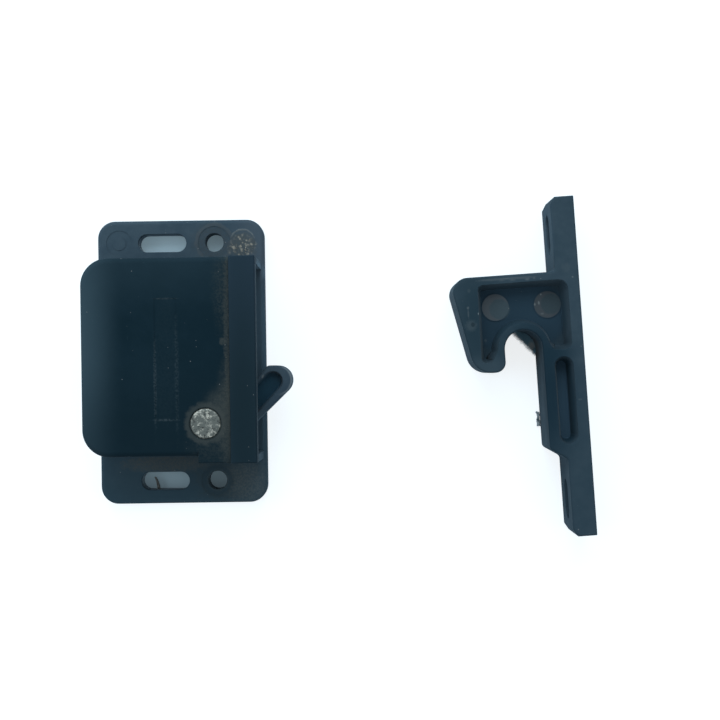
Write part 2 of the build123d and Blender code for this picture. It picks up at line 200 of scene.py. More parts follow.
def maths(tree, operation, first, second=0.0, clamp=False):
    return node(tree, "ShaderNodeMath", {0: first, 1: second},
                operation=operation, use_clamp=clamp).outputs[0]


def times(tree, first, second, clamp=False):
    return maths(tree, "MULTIPLY", first, second, clamp)


def vector_maths(tree, operation, first, second=ORIGIN, output="Vector"):
    return node(tree, "ShaderNodeVectorMath", {0: first, 1: second},
                operation=operation).outputs[output]


def parts_of(tree, vector):
    return node(tree, "ShaderNodeSeparateXYZ", {0: vector}).outputs


def smooth_step(tree, value, low, high):
    """Rises from 0 at low to 1 at high."""
    return node(tree, "ShaderNodeMapRange", {"Value": value, "From Min": low, "From Max": high},
                interpolation_type="SMOOTHSTEP").outputs["Result"]


def slope(tree, value, low, high, at_low, at_high):
    """Goes evenly from at_low at low to at_high at high."""
    return node(tree, "ShaderNodeMapRange", {
        "Value": value, "From Min": low, "From Max": high,
        "To Min": at_low, "To Max": at_high}).outputs["Result"]


def mix_colour(tree, factor, under, over):
    return node(tree, "ShaderNodeMix", {0: factor, 6: under, 7: over}, data_type="RGBA").outputs[2]


def mix_value(tree, factor, under, over):
    return node(tree, "ShaderNodeMix", {0: factor, 2: under, 3: over}, data_type="FLOAT").outputs[0]


def noise_value(tree, place, scale, detail=4.0, roughness=0.55):
    return node(tree, "ShaderNodeTexNoise", {
        "Vector": place, "Scale": scale, "Detail": detail, "Roughness": roughness}).outputs["Fac"]


def cells_about(tree, place, scale, feature):
    return node(tree, "ShaderNodeTexVoronoi", {"Vector": place, "Scale": scale},
                feature=feature).outputs


def bumped(tree, height, strength, distance):
    """A normal bumped by a height. The distance is in millimetres."""
    return node(tree, "ShaderNodeBump", {
        "Height": height, "Strength": strength, "Distance": distance * MM}).outputs["Normal"]


def shader_group(name, inputs, outputs=("Mask",)):
    """Turns a function that fills a group into one that returns it, built when first asked for."""
    def sharing(fill):
        def shared():
            if name not in bpy.data.node_groups:
                group = bpy.data.node_groups.new(name, "ShaderNodeTree")
                for label, default in inputs.items():
                    kind = "NodeSocketVector" if isinstance(default, tuple) else "NodeSocketFloat"
                    socket = group.interface.new_socket(label, in_out="INPUT", socket_type=kind)
                    socket.default_value = default
                for label in outputs:
                    group.interface.new_socket(
                        label, in_out="OUTPUT", socket_type="NodeSocketFloat")
                fill(group, group.nodes.new("NodeGroupInput").outputs,
                     group.nodes.new("NodeGroupOutput").inputs)
            return bpy.data.node_groups[name]
        return shared
    return sharing


@shader_group("ragged patch", {
    "Place": ORIGIN, "Centre": ORIGIN, "Reach": (1, 1, 1), "Ragged": 0.5, "Scale": 900.0,
    "Soft": 0.35, "Broken": 0.0})
def patch_group(group, given, out):
    """A ragged patch of something, in a round reach about a centre."""
    away = vector_maths(group, "SUBTRACT", given["Place"], given["Centre"])
    away = vector_maths(group, "DIVIDE", away, given["Reach"])
    distance = vector_maths(group, "LENGTH", away, output="Value")
    coarse = noise_value(group, given["Place"], given["Scale"], detail=5.0, roughness=0.65)
    push = times(group, maths(group, "SUBTRACT", coarse, 0.5), given["Ragged"])
    edge = maths(group, "ADD", distance, times(group, push, 2.0))
    low = maths(group, "ADD", given["Soft"], 1.0)
    high = maths(group, "SUBTRACT", 1.0, given["Soft"])
    full = smooth_step(group, edge, low, high)
    fine = noise_value(group, given["Place"], 3400.0, detail=3.0, roughness=0.6)
    gaps = smooth_step(group, fine, 0.6, 0.38)
    kept = maths(group, "SUBTRACT", 1.0, times(group, gaps, given["Broken"]))
    group.links.new(times(group, full, kept), out["Mask"])


@shader_group("pebbled crust", {"Place": ORIGIN, "Scale": 2200.0})
def pebble_group(group, given, out):
    """Pebbly blotches, pale in the middle and dark between."""
    cells = cells_about(group, given["Place"], given["Scale"], "SMOOTH_F1")
    round_tops = smooth_step(group, cells["Distance"], 0.55, 0.1)
    blotch = smooth_step(group, noise_value(group, given["Place"], 1300.0), 0.38, 0.58)
    group.links.new(times(group, round_tops, blotch), out["Mask"])


@shader_group("worn ring", {
    "Place": ORIGIN, "Centre": ORIGIN, "Radius": 0.003, "Width": 0.0005, "Ragged": 0.5,
    "Scale": 1200.0})
def ring_group(group, given, out):
    """A worn ring about a line along Z."""
    away = vector_maths(group, "SUBTRACT", given["Place"], given["Centre"])
    away = vector_maths(group, "MULTIPLY", away, (1.0, 1.0, 0.0))
    distance = vector_maths(group, "LENGTH", away, output="Value")
    off = maths(group, "ABSOLUTE", maths(group, "SUBTRACT", distance, given["Radius"]))
    off = maths(group, "DIVIDE", off, given["Width"])
    coarse = noise_value(group, given["Place"], given["Scale"])
    push = times(group, maths(group, "SUBTRACT", coarse, 0.5), given["Ragged"])
    off = maths(group, "ADD", off, times(group, push, 3.0))
    group.links.new(smooth_step(group, off, 1.0, 0.35), out["Mask"])


@shader_group("dust specks", {"Place": ORIGIN, "Scale": 900.0, "Size": 0.1, "Share": 0.2})
def speck_group(group, given, out):
    """Small separate specks."""
    cells = cells_about(group, given["Place"], given["Scale"], "F1")
    parts = node(group, "ShaderNodeSeparateColor", {"Color": cells["Color"]}).outputs
    chosen = maths(group, "LESS_THAN", parts["Red"], given["Share"])
    size = times(group, given["Size"], maths(group, "ADD", parts["Green"], 0.35))
    near = smooth_step(group, cells["Distance"], size, times(group, size, 0.5))
    group.links.new(times(group, near, chosen), out["Mask"])


@shader_group("rubbed edges", {"Place": ORIGIN, "Radius": 0.0003, "Amount": 1.0})
def wear_group(group, given, out):
    """Where outward edges are rubbed, from how a rounded normal differs from the plain one."""
    rounded = node(group, "ShaderNodeBevel", {"Radius": given["Radius"]}, samples=6).outputs
    plain = node(group, "ShaderNodeNewGeometry").outputs
    turned = vector_maths(group, "DOT_PRODUCT", rounded["Normal"], plain["Normal"], output="Value")
    turned = smooth_step(group, turned, 0.995, 0.86)
    patchy = smooth_step(group, noise_value(group, given["Place"], 700.0, detail=6.0), 0.35, 0.7)
    patchy = maths(group, "ADD", times(group, patchy, 0.65), 0.35)
    mask = times(group, times(group, turned, patchy), given["Amount"], clamp=True)
    group.links.new(mask, out["Mask"])


@shader_group("moulded skin", {"Place": ORIGIN, "Flow": (1, 1, 1)},
              outputs=("Mottle", "Grain", "Scratches"))
def skin_group(group, given, out):
    """Moulded plastic skin: broad mottle, fine grain and faint flow lines."""
    broad = noise_value(group, given["Place"], 95.0, detail=3.0)
    middle = noise_value(group, given["Place"], 520.0, detail=5.0, roughness=0.6)
    mottle = maths(group, "ADD", times(group, broad, 0.6), times(group, middle, 0.4))
    group.links.new(smooth_step(group, mottle, 0.36, 0.64), out["Mottle"])
    fine = noise_value(group, given["Place"], 4200.0, detail=2.0)
    pebble = noise_value(group, given["Place"], 1500.0, detail=3.0)
    group.links.new(maths(group, "ADD", fine, pebble), out["Grain"])
    drawn = vector_maths(group, "MULTIPLY", given["Place"], given["Flow"])
    lines = noise_value(group, drawn, 900.0, detail=6.0, roughness=0.7)
    group.links.new(smooth_step(group, lines, 0.66, 0.74), out["Scratches"])


def use(tree, shared, inputs):
    """Adds a shared group to a tree."""
    return node(tree, "ShaderNodeGroup", inputs, node_tree=shared()).outputs


def new_material(name):
    """A plain material, and its tree, the place on the object and its surface node."""
    material = bpy.data.materials.new(name)
    material.use_nodes = True
    tree = material.node_tree
    tree.nodes.clear()
    place = tree.nodes.new("ShaderNodeTexCoord").outputs["Object"]
    surface = tree.nodes.new("ShaderNodeBsdfPrincipled")
    node(tree, "ShaderNodeOutputMaterial", {"Surface": surface.outputs[0]})
    return material, tree, place, surface


# A mask maker takes the tree and the place, and returns a mask. Places and lengths given to the
# makers below are in millimetres.

def area(centre, reach, ragged=0.5, scale=900.0, soft=0.35, broken=0.0):
    """Makes a ragged patch."""
    return lambda tree, place: use(tree, patch_group, {
        "Place": place, "Centre": Vector(centre) * MM, "Reach": Vector(reach) * MM,
        "Ragged": ragged, "Scale": scale, "Soft": soft, "Broken": broken})["Mask"]


def band(centre, radius, width, ragged=0.5, scale=1200.0):
    """Makes a worn ring."""
    return lambda tree, place: use(tree, ring_group, {
        "Place": place, "Centre": Vector(centre) * MM, "Radius": radius * MM, "Width": width * MM,
        "Ragged": ragged, "Scale": scale})["Mask"]


def pebbles(scale):
    """Makes pebbly blotches."""
    return lambda tree, place: use(tree, pebble_group, {"Place": place, "Scale": scale})["Mask"]


def both(first, second):
    """Makes what two masks share."""
    return lambda tree, place: times(tree, first(tree, place), second(tree, place))


def on_strike(out, down, up):
    """A spot on the strike in its own turned millimetres: out from its back, down its plate, up."""
    return (-out, -down, up)


def strike_place(tree, place):
    """The place as on_strike counts it, in metres."""
    return node(tree, "ShaderNodeMapping",
                {"Vector": place, "Location": STRIKE_CORNER, "Rotation": (0.0, 0.0, STRIKE_TILT)},
                vector_type="TEXTURE").outputs[0]


def moulded_plastic(name, dark, light, tones=(), stains=(), flow=(1.0, 0.12, 1.0), wear=0.5,
                    specks=0.1, lie=None, film=None):
    """Moulded plastic with mottle, rubbed edges, broad tones, stains, dust specks and grain.

    A tone is (mask maker, colour, strength), and a stain has a roughness after these.
    Where lie is given, it turns the place for the makers. A film is a colour added over all.
    """
    plastic, dirt = settings()[1:]
    material, tree, place, surface = new_material(name)
    spot = lie(tree, place) if lie else place
    skin = use(tree, skin_group, {"Place": place, "Flow": flow})
    colour = mix_colour(tree, skin["Mottle"], rgba(dark), rgba(light))
    for make_mask, tone, strength in tones:
        mask = times(tree, make_mask(tree, spot), strength, clamp=True)
        colour = mix_colour(tree, mask, colour, rgba(tone))
    rough = mix_value(tree, skin["Mottle"], plastic.roughness + 0.05, plastic.roughness - 0.04)
    scuff = rgba(plastic.scuff)
    colour = mix_colour(tree, times(tree, skin["Scratches"], 0.16), colour, scuff)
    rubbed = use(tree, wear_group, {"Place": place, "Radius": 0.25 * MM, "Amount": wear})["Mask"]
    colour = mix_colour(tree, times(tree, rubbed, 0.5), colour, scuff)
    rough = mix_value(tree, rubbed, rough, 0.55)
    grit = 0.0
    for make_mask, stain, strength, stain_rough in stains:
        mask = times(tree, make_mask(tree, spot), strength, clamp=True)
        colour = mix_colour(tree, mask, colour, rgba(stain))
        rough = mix_value(tree, mask, rough, stain_rough)
        grit = maths(tree, "MAXIMUM", grit, mask)
    for scale, size in ((430.0, 0.045), (1150.0, 0.085)):
        speck = use(tree, speck_group,
                    {"Place": place, "Scale": scale, "Size": size, "Share": specks})["Mask"]
        colour = mix_colour(tree, times(tree, speck, 0.5), colour, rgba(dirt.dust))
    if film:
        colour = vector_maths(tree, "ADD", colour, film)
    coarse = noise_value(tree, place, 2600.0, roughness=0.7)
    height = maths(tree, "ADD", skin["Grain"], times(tree, times(tree, coarse, grit), 5.0))
    plug(tree, surface, {
        "Base Color": colour, "Roughness": rough, "Normal": bumped(tree, height, 0.35, 0.012),
        "IOR": 1.5, "Specular IOR Level": 0.06, "Specular Tint": (0.5, 0.86, 1.0, 1.0),
        "Sheen Weight": 0.10, "Sheen Roughness": 0.35, "Sheen Tint": (0.60, 0.82, 1.0, 1.0)})
    return material


def steel(name, bright, dull, spots, spot_share, fleck_share=0.5, shine=0.75):
    """Worn steel: dull metal with bright flecks, dark corrosion spots and fine pitting."""
    material, tree, place, surface = new_material(name)
    cloud = noise_value(tree, place, 1250.0, detail=6.0, roughness=0.7)
    flecks = smooth_step(tree, cloud, 0.97 - fleck_share, 1.09 - fleck_share)
    colour = mix_colour(tree, flecks, rgba(dull), rgba(bright))
    pits = noise_value(tree, place, 2100.0, detail=5.0, roughness=0.75)
    pitted = smooth_step(tree, pits, 1.0 - spot_share, 1.05 - spot_share)
    plug(tree, surface, {
        "Base Color": mix_colour(tree, pitted, colour, rgba(spots)),
        "Roughness": mix_value(tree, pitted, mix_value(tree, flecks, 0.55, 0.38), 0.85),
        "Metallic": mix_value(tree, pitted, shine, 0.1),
        "Normal": bumped(tree, pits, 0.5, 0.03)})
    return material


def dry_dirt(name, pale, brown):
    """Dry grains and crust: chalky, with two tones."""
    material, tree, place, surface = new_material(name)
    tone = smooth_step(tree, noise_value(tree, place, 1600.0), 0.35, 0.65)
    grain = noise_value(tree, place, 9000.0, detail=3.0)
    plug(tree, surface, {
        "Base Color": mix_colour(tree, tone, rgba(brown), rgba(pale)),
        "Roughness": mix_value(tree, tone, 0.95, 0.8),
        "Normal": bumped(tree, grain, 0.6, 0.02),
        "Specular IOR Level": 0.2})
    return material


def new_piece(name, shape, material, body, replaced=()):
    """Turns a bmesh into a finished piece that rides on a body."""
    mesh = bpy.data.meshes.new(name)
    shape.to_mesh(mesh)
    shape.free()
    mesh.shade_smooth()
    piece = bpy.data.objects.new(name, mesh)
    bpy.context.scene.collection.objects.link(piece)
    mesh.materials.append(material)
    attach(piece, body)
    if replaced:
        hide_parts(*replaced)
    return piece


def face_depth(face, edge):
    """How far a face reaches from one of its edges."""
    start = edge.verts[0].co
    along = (edge.verts[1].co - start).normalized()
    offs = [vert.co - start for vert in face.verts]
    return max((off - along * off.dot(along)).length for off in offs)


def crisp_edges(shape, width):
    """Edges sharp enough to soften, where both faces leave room for it."""
    sharp = math.radians(32)
    room = 2.5 * width
    return [edge for edge in shape.edges
            if len(edge.link_faces) == 2 and edge.calc_face_angle(0.0) > sharp
            and all(face_depth(face, edge) > room for face in edge.link_faces)]


def moulding(node_name, name, material, body):
    """A clean copy of a moulded part's mesh, with softened edges, which stands for the part."""
    width = settings()[1].edge_width
    touching = 0.0005 * MM
    in_one_plane = math.radians(0.6)
    shape = bmesh.new()
    shape.from_mesh(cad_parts[node_name].data)
    bmesh.ops.remove_doubles(shape, verts=shape.verts, dist=touching)
    bmesh.ops.dissolve_limit(shape, angle_limit=in_one_plane, verts=shape.verts,
                             edges=shape.edges)
    bmesh.ops.bevel(shape, geom=crisp_edges(shape, width), offset=width, offset_type="OFFSET",
                    affect="EDGES", segments=2, profile=0.5, material=-1, clamp_overlap=False)
    piece = new_piece(name, shape, material, body, replaced=(node_name,))
    flat = piece.modifiers.new("flat faces", "WEIGHTED_NORMAL")
    flat.mode = "FACE_AREA_WITH_ANGLE"
    flat.keep_sharp = False


def grains(places, sizes, chance):
    """A shape made of small flattened grains at the given places."""
    shape = bmesh.new()
    for spot, size in zip(places, sizes):
        squash = Matrix.Diagonal((chance.uniform(0.8, 1.4), chance.uniform(0.8, 1.4), 0.6, 1.0))
        turn = Matrix.Rotation(chance.uniform(0.0, math.tau), 4, "Z")
        bmesh.ops.create_icosphere(shape, subdivisions=1, radius=size,
                                   matrix=Matrix.Translation(spot) @ turn @ squash)
    return shape


class CATCH_OT_stage(bpy.types.Operator):
    """Lay the pale floor, set the camera over it and light it softly"""

    bl_idname = "catch.stage"
    bl_label = "Stage"

    def execute(self, context):
        stage = context.scene.catch_stage
        self.lay_floor(stage)
        self.set_camera(stage)
        self.light_room(stage)
        context.scene.view_settings.view_transform = "Standard"
        return {"FINISHED"}

    def lay_floor(self, stage):
        gap = 0.02 * MM
        shape = bmesh.new()
        bmesh.ops.create_grid(shape, x_segments=1, y_segments=1, size=stage.floor_size / 2)
        bmesh.ops.translate(shape, verts=shape.verts, vec=(0, 0, -gap))
        mesh = bpy.data.meshes.new("floor")
        shape.to_mesh(mesh)
        shape.free()
        mesh.materials.append(self.floor_material(stage))
        floor = bpy.data.objects.new("floor", mesh)
        bpy.context.scene.collection.objects.link(floor)

    def floor_material(self, stage):
        """Glows white for the camera, and dimly under the plate, whose holes show the floor; the
        dimmed, blue-tinted glow there is painted shade.
        """
        material = bpy.data.materials.new("pale floor")
        material.use_nodes = True
        tree = material.node_tree
        tree.nodes.clear()
        seen = tree.nodes.new("ShaderNodeLightPath").outputs
        shown = maths(tree, "MAXIMUM", seen["Is Camera Ray"],
                      times(tree, seen["Is Glossy Ray"], 0.15))
        place = tree.nodes.new("ShaderNodeTexCoord").outputs["Object"]
        middle = (BASE_LOW + BASE_HIGH) / 2
        reach = (BASE_HIGH - BASE_LOW) / 2 - Vector((1.0, 1.0, 0.0)) * MM
        off = vector_maths(tree, "SUBTRACT", place, middle)
        away = parts_of(tree, vector_maths(tree, "ABSOLUTE", off))
        covered = times(tree, maths(tree, "LESS_THAN", away["X"], reach.x),
                        maths(tree, "LESS_THAN", away["Y"], reach.y))
        along = parts_of(tree, off)
        # Painted shade under the plate: the glow is dimmed, more towards the lower end and the
        # right, and tinted blue.
        under_plate_shade = times(tree, slope(tree, along["Y"], -reach.y, reach.y, 0.078, 0.24),
                       slope(tree, along["X"], -3.0 * MM, 5.4 * MM, 1.0, 0.68))
        strength = times(tree, times(tree, shown, stage.floor_glow),
                         mix_value(tree, covered, 1.0, under_plate_shade))
        tint = mix_colour(tree, covered, WHITE, (0.59, 0.82, 0.93, 1.0))
        glow = node(tree, "ShaderNodeEmission", {"Color": tint, "Strength": strength})
        matt = node(tree, "ShaderNodeBsdfDiffuse", {"Color": rgba(stage.floor_colour)})
        lit = node(tree, "ShaderNodeAddShader", {0: matt.outputs[0], 1: glow.outputs[0]})
        node(tree, "ShaderNodeOutputMaterial", {"Surface": lit.outputs[0]})
        return material

    def set_camera(self, stage):
        data = bpy.data.cameras.new("camera")
        data.sensor_width = 36.0
        data.lens = stage.lens
        data.shift_y = stage.camera_shift
        data.clip_start = 0.005
        data.clip_end = 20.0
        camera = bpy.data.objects.new("camera", data)
        camera.location = (*stage.camera_place, stage.camera_height)
        camera.rotation_euler = (0.0, 0.0, stage.camera_roll)
        bpy.context.scene.collection.objects.link(camera)
        bpy.context.scene.camera = camera

    def light_room(self, stage):
        world = bpy.data.worlds.new("room")
        bpy.context.scene.world = world
        world.use_nodes = True
        tree = world.node_tree
        tree.nodes.clear()
        seen = tree.nodes.new("ShaderNodeLightPath").outputs
        strength = mix_value(tree, seen["Is Camera Ray"], stage.world_light, 1.0)
        sky = node(tree, "ShaderNodeBackground", {"Color": WHITE, "Strength": strength})
        node(tree, "ShaderNodeOutputWorld", {"Surface": sky.outputs[0]})
        for name, place, size, share in LAMPS:
            data = bpy.data.lights.new(name, "AREA")
            data.shape = "SQUARE"
            data.size = size
            data.energy = stage.key_light * share
            lamp = bpy.data.objects.new(name, data)
            lamp.location = place
            aim = LAMP_AIM - Vector(place)
            lamp.rotation_euler = aim.to_track_quat("-Z", "Y").to_euler()
            bpy.context.scene.collection.objects.link(lamp)


class CATCH_OT_base(bpy.types.Operator):
    """Finish the base: mounting plate, end walls and front bar"""

    bl_idname = "catch.base"
    bl_label = "Base frame"

    def execute(self, context):
        plastic = context.scene.catch_plastic
        dirt = context.scene.catch_dirt
        row = SCREW_ROW / MM
        mark = RESIDUE_MARK / MM
        tones = [
            # Painted shade over the lower end, the bar's darker tone with painted shade over its
            # lower part, and painted light on the upper end wall of the mouth.
            (area((-5.4, -27.0, 3.0), (60.0, 15.0, 40.0), 0.05, 90, 0.85),
             (0.0185, 0.043, 0.064), 0.85),
            (area((5.5, 0.0, 14.5), (3.6, 60.0, 2.4), 0.1, 500, 0.3),
             (0.0125, 0.0260, 0.0430), 1.0),
            (area((5.4, -9.0, 14.5), (3.6, 20.0, 2.6), 0.1, 300, 0.7),
             (0.0032, 0.0105, 0.0165), 0.9),
            (area((6.6, 14.2, 6.0), (2.4, 1.4, 6.5), 0.1, 500, 0.3),
             (0.095, 0.165, 0.225), 0.9),
        ]
        # Painted light on the walls of the slots and round holes, paler at the upper end.
        hole_wall_light = (
            ((-8.5, row, 1.3), (5.4, 2.3, 1.35), (0.20, 0.28, 0.34)),
            ((-8.5, -row, 1.3), (5.4, 2.3, 1.35), (0.16, 0.23, 0.28)),
            ((0.0, row, 1.3), (2.4, 2.4, 1.35), (0.10, 0.15, 0.19)),
            ((0.0, -row, 1.3), (2.4, 2.4, 1.35), (0.08, 0.12, 0.15)),
        )
        tones += [(area(centre, reach, 0.0, 500, 0.1), tone, 0.9)
                  for centre, reach, tone in hole_wall_light]
        tones += [
            # Painted light on the floor of the mouth, where the bar shades it, and on the plate's
            # upper end.
            (area((7.0, 0.0, 3.0), (1.1, 15.5, 1.5), 0.1, 500, 0.2), (0.044, 0.084, 0.122), 0.9),
            (area((7.5, 20.0, 3.0), (3.5, 7.0, 1.5), 0.1, 500, 0.7), (0.052, 0.078, 0.106), 0.7),
        ]
        stains = [
            # Dust and a screw head's ring at the upper hole.
            (area((-0.3, row, 3.0), (3.0, 3.0, 3.0), 0.5, 900, 0.35, 0.6),
             (0.040, 0.050, 0.056), 0.55, 0.85),
            (band((0, row, 3), 2.9, 0.35, 0.9), (0.085, 0.100, 0.108), 0.22, 0.8),
            # Dried residue beside it.
            (area((mark.x, mark.y - 0.6, 3), (2.2, 2.0, 3.0), 0.5, 1500, 0.3, 0.4),
             (0.056, 0.068, 0.070), 0.75, 0.9),
            (both(pebbles(2300.0),
                  area((mark.x, mark.y - 0.8, 3), (2.1, 1.9, 3.0), 0.4, 1500, 0.3)),
             dirt.crust, 0.9, 0.9),
            (both(band((mark.x, mark.y, 3), 2.0, 0.16, 0.8, 1500),
                  area((mark.x + 0.2, mark.y + 1.7, 3), (2.4, 1.3, 3.0), 0.5, 900)),
             (0.15, 0.19, 0.21), 0.6, 0.8),
            # Dirt and scratches by the lower slot and hole.
            (area((-8.0, -16.3, 3.0), (6.6, 1.35, 3.0), 0.6, 1300, 0.35, 0.5),
             (0.052, 0.066, 0.071), 0.85, 0.85),
            (area((1.0, -18.9, 3.0), (4.0, 3.4, 3.0), 0.6, 1100, 0.5, 0.5),
             (0.027, 0.042, 0.050), 0.8, 0.85),
            (area((5.0, -19.4, 3.0), (3.2, 3.6, 3.0), 0.7, 1000, 0.6, 0.6),
             (0.085, 0.108, 0.117), 0.5, 0.85),
            (band((0, -row, 3), 2.1, 0.45, 0.5), (0.014, 0.031, 0.047), 0.45, 0.7),
        ]
        material = moulded_plastic("base plastic", plastic.plate_dark, plastic.plate_light,
                                   tones, stains, film=plastic.film)
        moulding("base_frame", "base_moulding", material, "frame")
        return {"FINISHED"}


class CATCH_OT_cover(bpy.types.Operator):
    """Finish the case cover with the grime by the bar and round the pin"""

    bl_idname = "catch.cover"
    bl_label = "Case cover"

    def execute(self, context):
        plastic = context.scene.catch_plastic
        grime = context.scene.catch_dirt.brown
        top = COVER_HIGH.z / MM
        foot = BAR_FOOT / MM
        pin = PIN_CENTRE / MM
        panel = Vector((-6.32, 0.3))
        painted_light_tone = (0.026, 0.052, 0.073)
        tones = [
            # Painted light along the left edge and the top, and painted shade over the lower part.
            (area((-19.8, 1.0, top), (3.9, 26.0, 9.0), 0.06, 200, 0.9), painted_light_tone, 1.0),
            (area((-9.0, 17.0, top), (19.0, 6.0, 9.0), 0.06, 200, 0.9), painted_light_tone, 0.22),
            (area((-5.0, -13.0, top), (14.0, 9.0, 9.0), 0.06, 200, 0.9),
             (0.0008, 0.0068, 0.0130), 0.8),
            (area((-6.3, 0.3, top), (1.9, 9.6, 0.4), 0.25, 2200, 0.15, 0.9),
             (0.010, 0.021, 0.030), 0.22),
        ]
        along_bar = (
            (foot, 4.0, 0.8, 15.0, (0.6, 1500, 0.3, 0.45), 0.66),
            (foot - 1.0, 2.9, 0.5, 0.6, (0.6, 1800, 0.35, 0.3), 0.66),
            (foot - 0.4, 11.0, 1.7, 6.0, (0.6, 1100, 0.6, 0.8), 0.34),
            (foot, -8.5, 1.9, 7.4, (0.45, 900, 0.45, 0.35), 0.62),
            (foot - 1.6, pin.y + 1.6, 2.3, 3.4, (0.4, 800, 0.5, 0.35), 0.55),
        )
        panel_outline = (
            (0.0, 9.2, 1.6, 0.10, (0.6, 3000, 0.6, 0.8), (0.060, 0.088, 0.105), 0.45),
            (0.0, -9.2, 1.8, 0.16, (0.9, 3000, 0.6, 0.9), (0.050, 0.076, 0.092), 0.45),
            (-1.65, -3.6, 0.20, 6.4, (1.2, 2600, 0.5, 1.0), (0.050, 0.076, 0.092), 0.35),
            (1.65, -2.4, 0.28, 7.5, (1.2, 2600, 0.5, 1.0), (0.036, 0.058, 0.072), 0.30),
        )
        stains = [(area((x, y, top), (wide, long, 2.0), *how), grime, strength, 0.85)
                  for x, y, wide, long, how, strength in along_bar]
        # Grime round the pin.
        stains += [
            (band((pin.x, pin.y, top), 2.5, 1.0, 0.45, 1100), grime, 0.58, 0.85),
            (area((pin.x + 1.2, pin.y - 3.7, top), (3.2, 2.3, 2.0), 0.6, 1200, 0.7, 0.8),
             grime, 0.24, 0.85),
        ]
        stains += [(area((panel.x + x, panel.y + y, top), (wide, long, 2.0), *how),
                    tone, strength, 0.85)
                   for x, y, wide, long, how, tone, strength in panel_outline]
        # Painted shade in the gap between pin and bore.
        stains.append((band((pin.x, pin.y, top), 2.42, 0.16, 0.3), (0.006, 0.010, 0.012), 0.6, 0.9))
        material = moulded_plastic("cover plastic", plastic.cover_dark, plastic.cover_light,
                                   tones, stains, wear=0.35, specks=0.16, film=plastic.film)
        moulding("case_cover", "cover_moulding", material, "frame")
        return {"FINISHED"}


class CATCH_OT_finger(bpy.types.Operator):
    """Finish the finger that grips the strike"""

    bl_idname = "catch.finger"
    bl_label = "Finger"

    def execute(self, context):
        plastic = context.scene.catch_plastic
        # Painted shade in the finger's pocket.
        tones = [(area((8.4, -4.8, 9.1), (3.2, 3.6, 1.7), 0.1, 700, 0.4),
                  (0.014, 0.048, 0.080), 0.9)]
        stains = [
            (area((8.1, -2.7, 11.1), (0.18, 0.4, 0.5), 0.8, 2500, 0.5),
             (0.16, 0.20, 0.22), 0.55, 0.8),
            # Painted highlight along the rounded edge of the finger's tip.
            (both(band((10.22, -3.12, 11.1), 2.3, 0.28, 0.2),
                  area((13.0, -3.2, 11.1), (2.4, 3.2, 2.0), 0.1, 900)),
             (0.17, 0.22, 0.25), 0.6, 0.8),
        ]
        material = moulded_plastic("finger plastic", plastic.plate_dark, plastic.plate_light,
                                   tones, stains, flow=(0.7, 0.7, 0.2), wear=0.6)
        moulding("latch_finger", "finger_moulding", material, "finger")
        return {"FINISHED"}


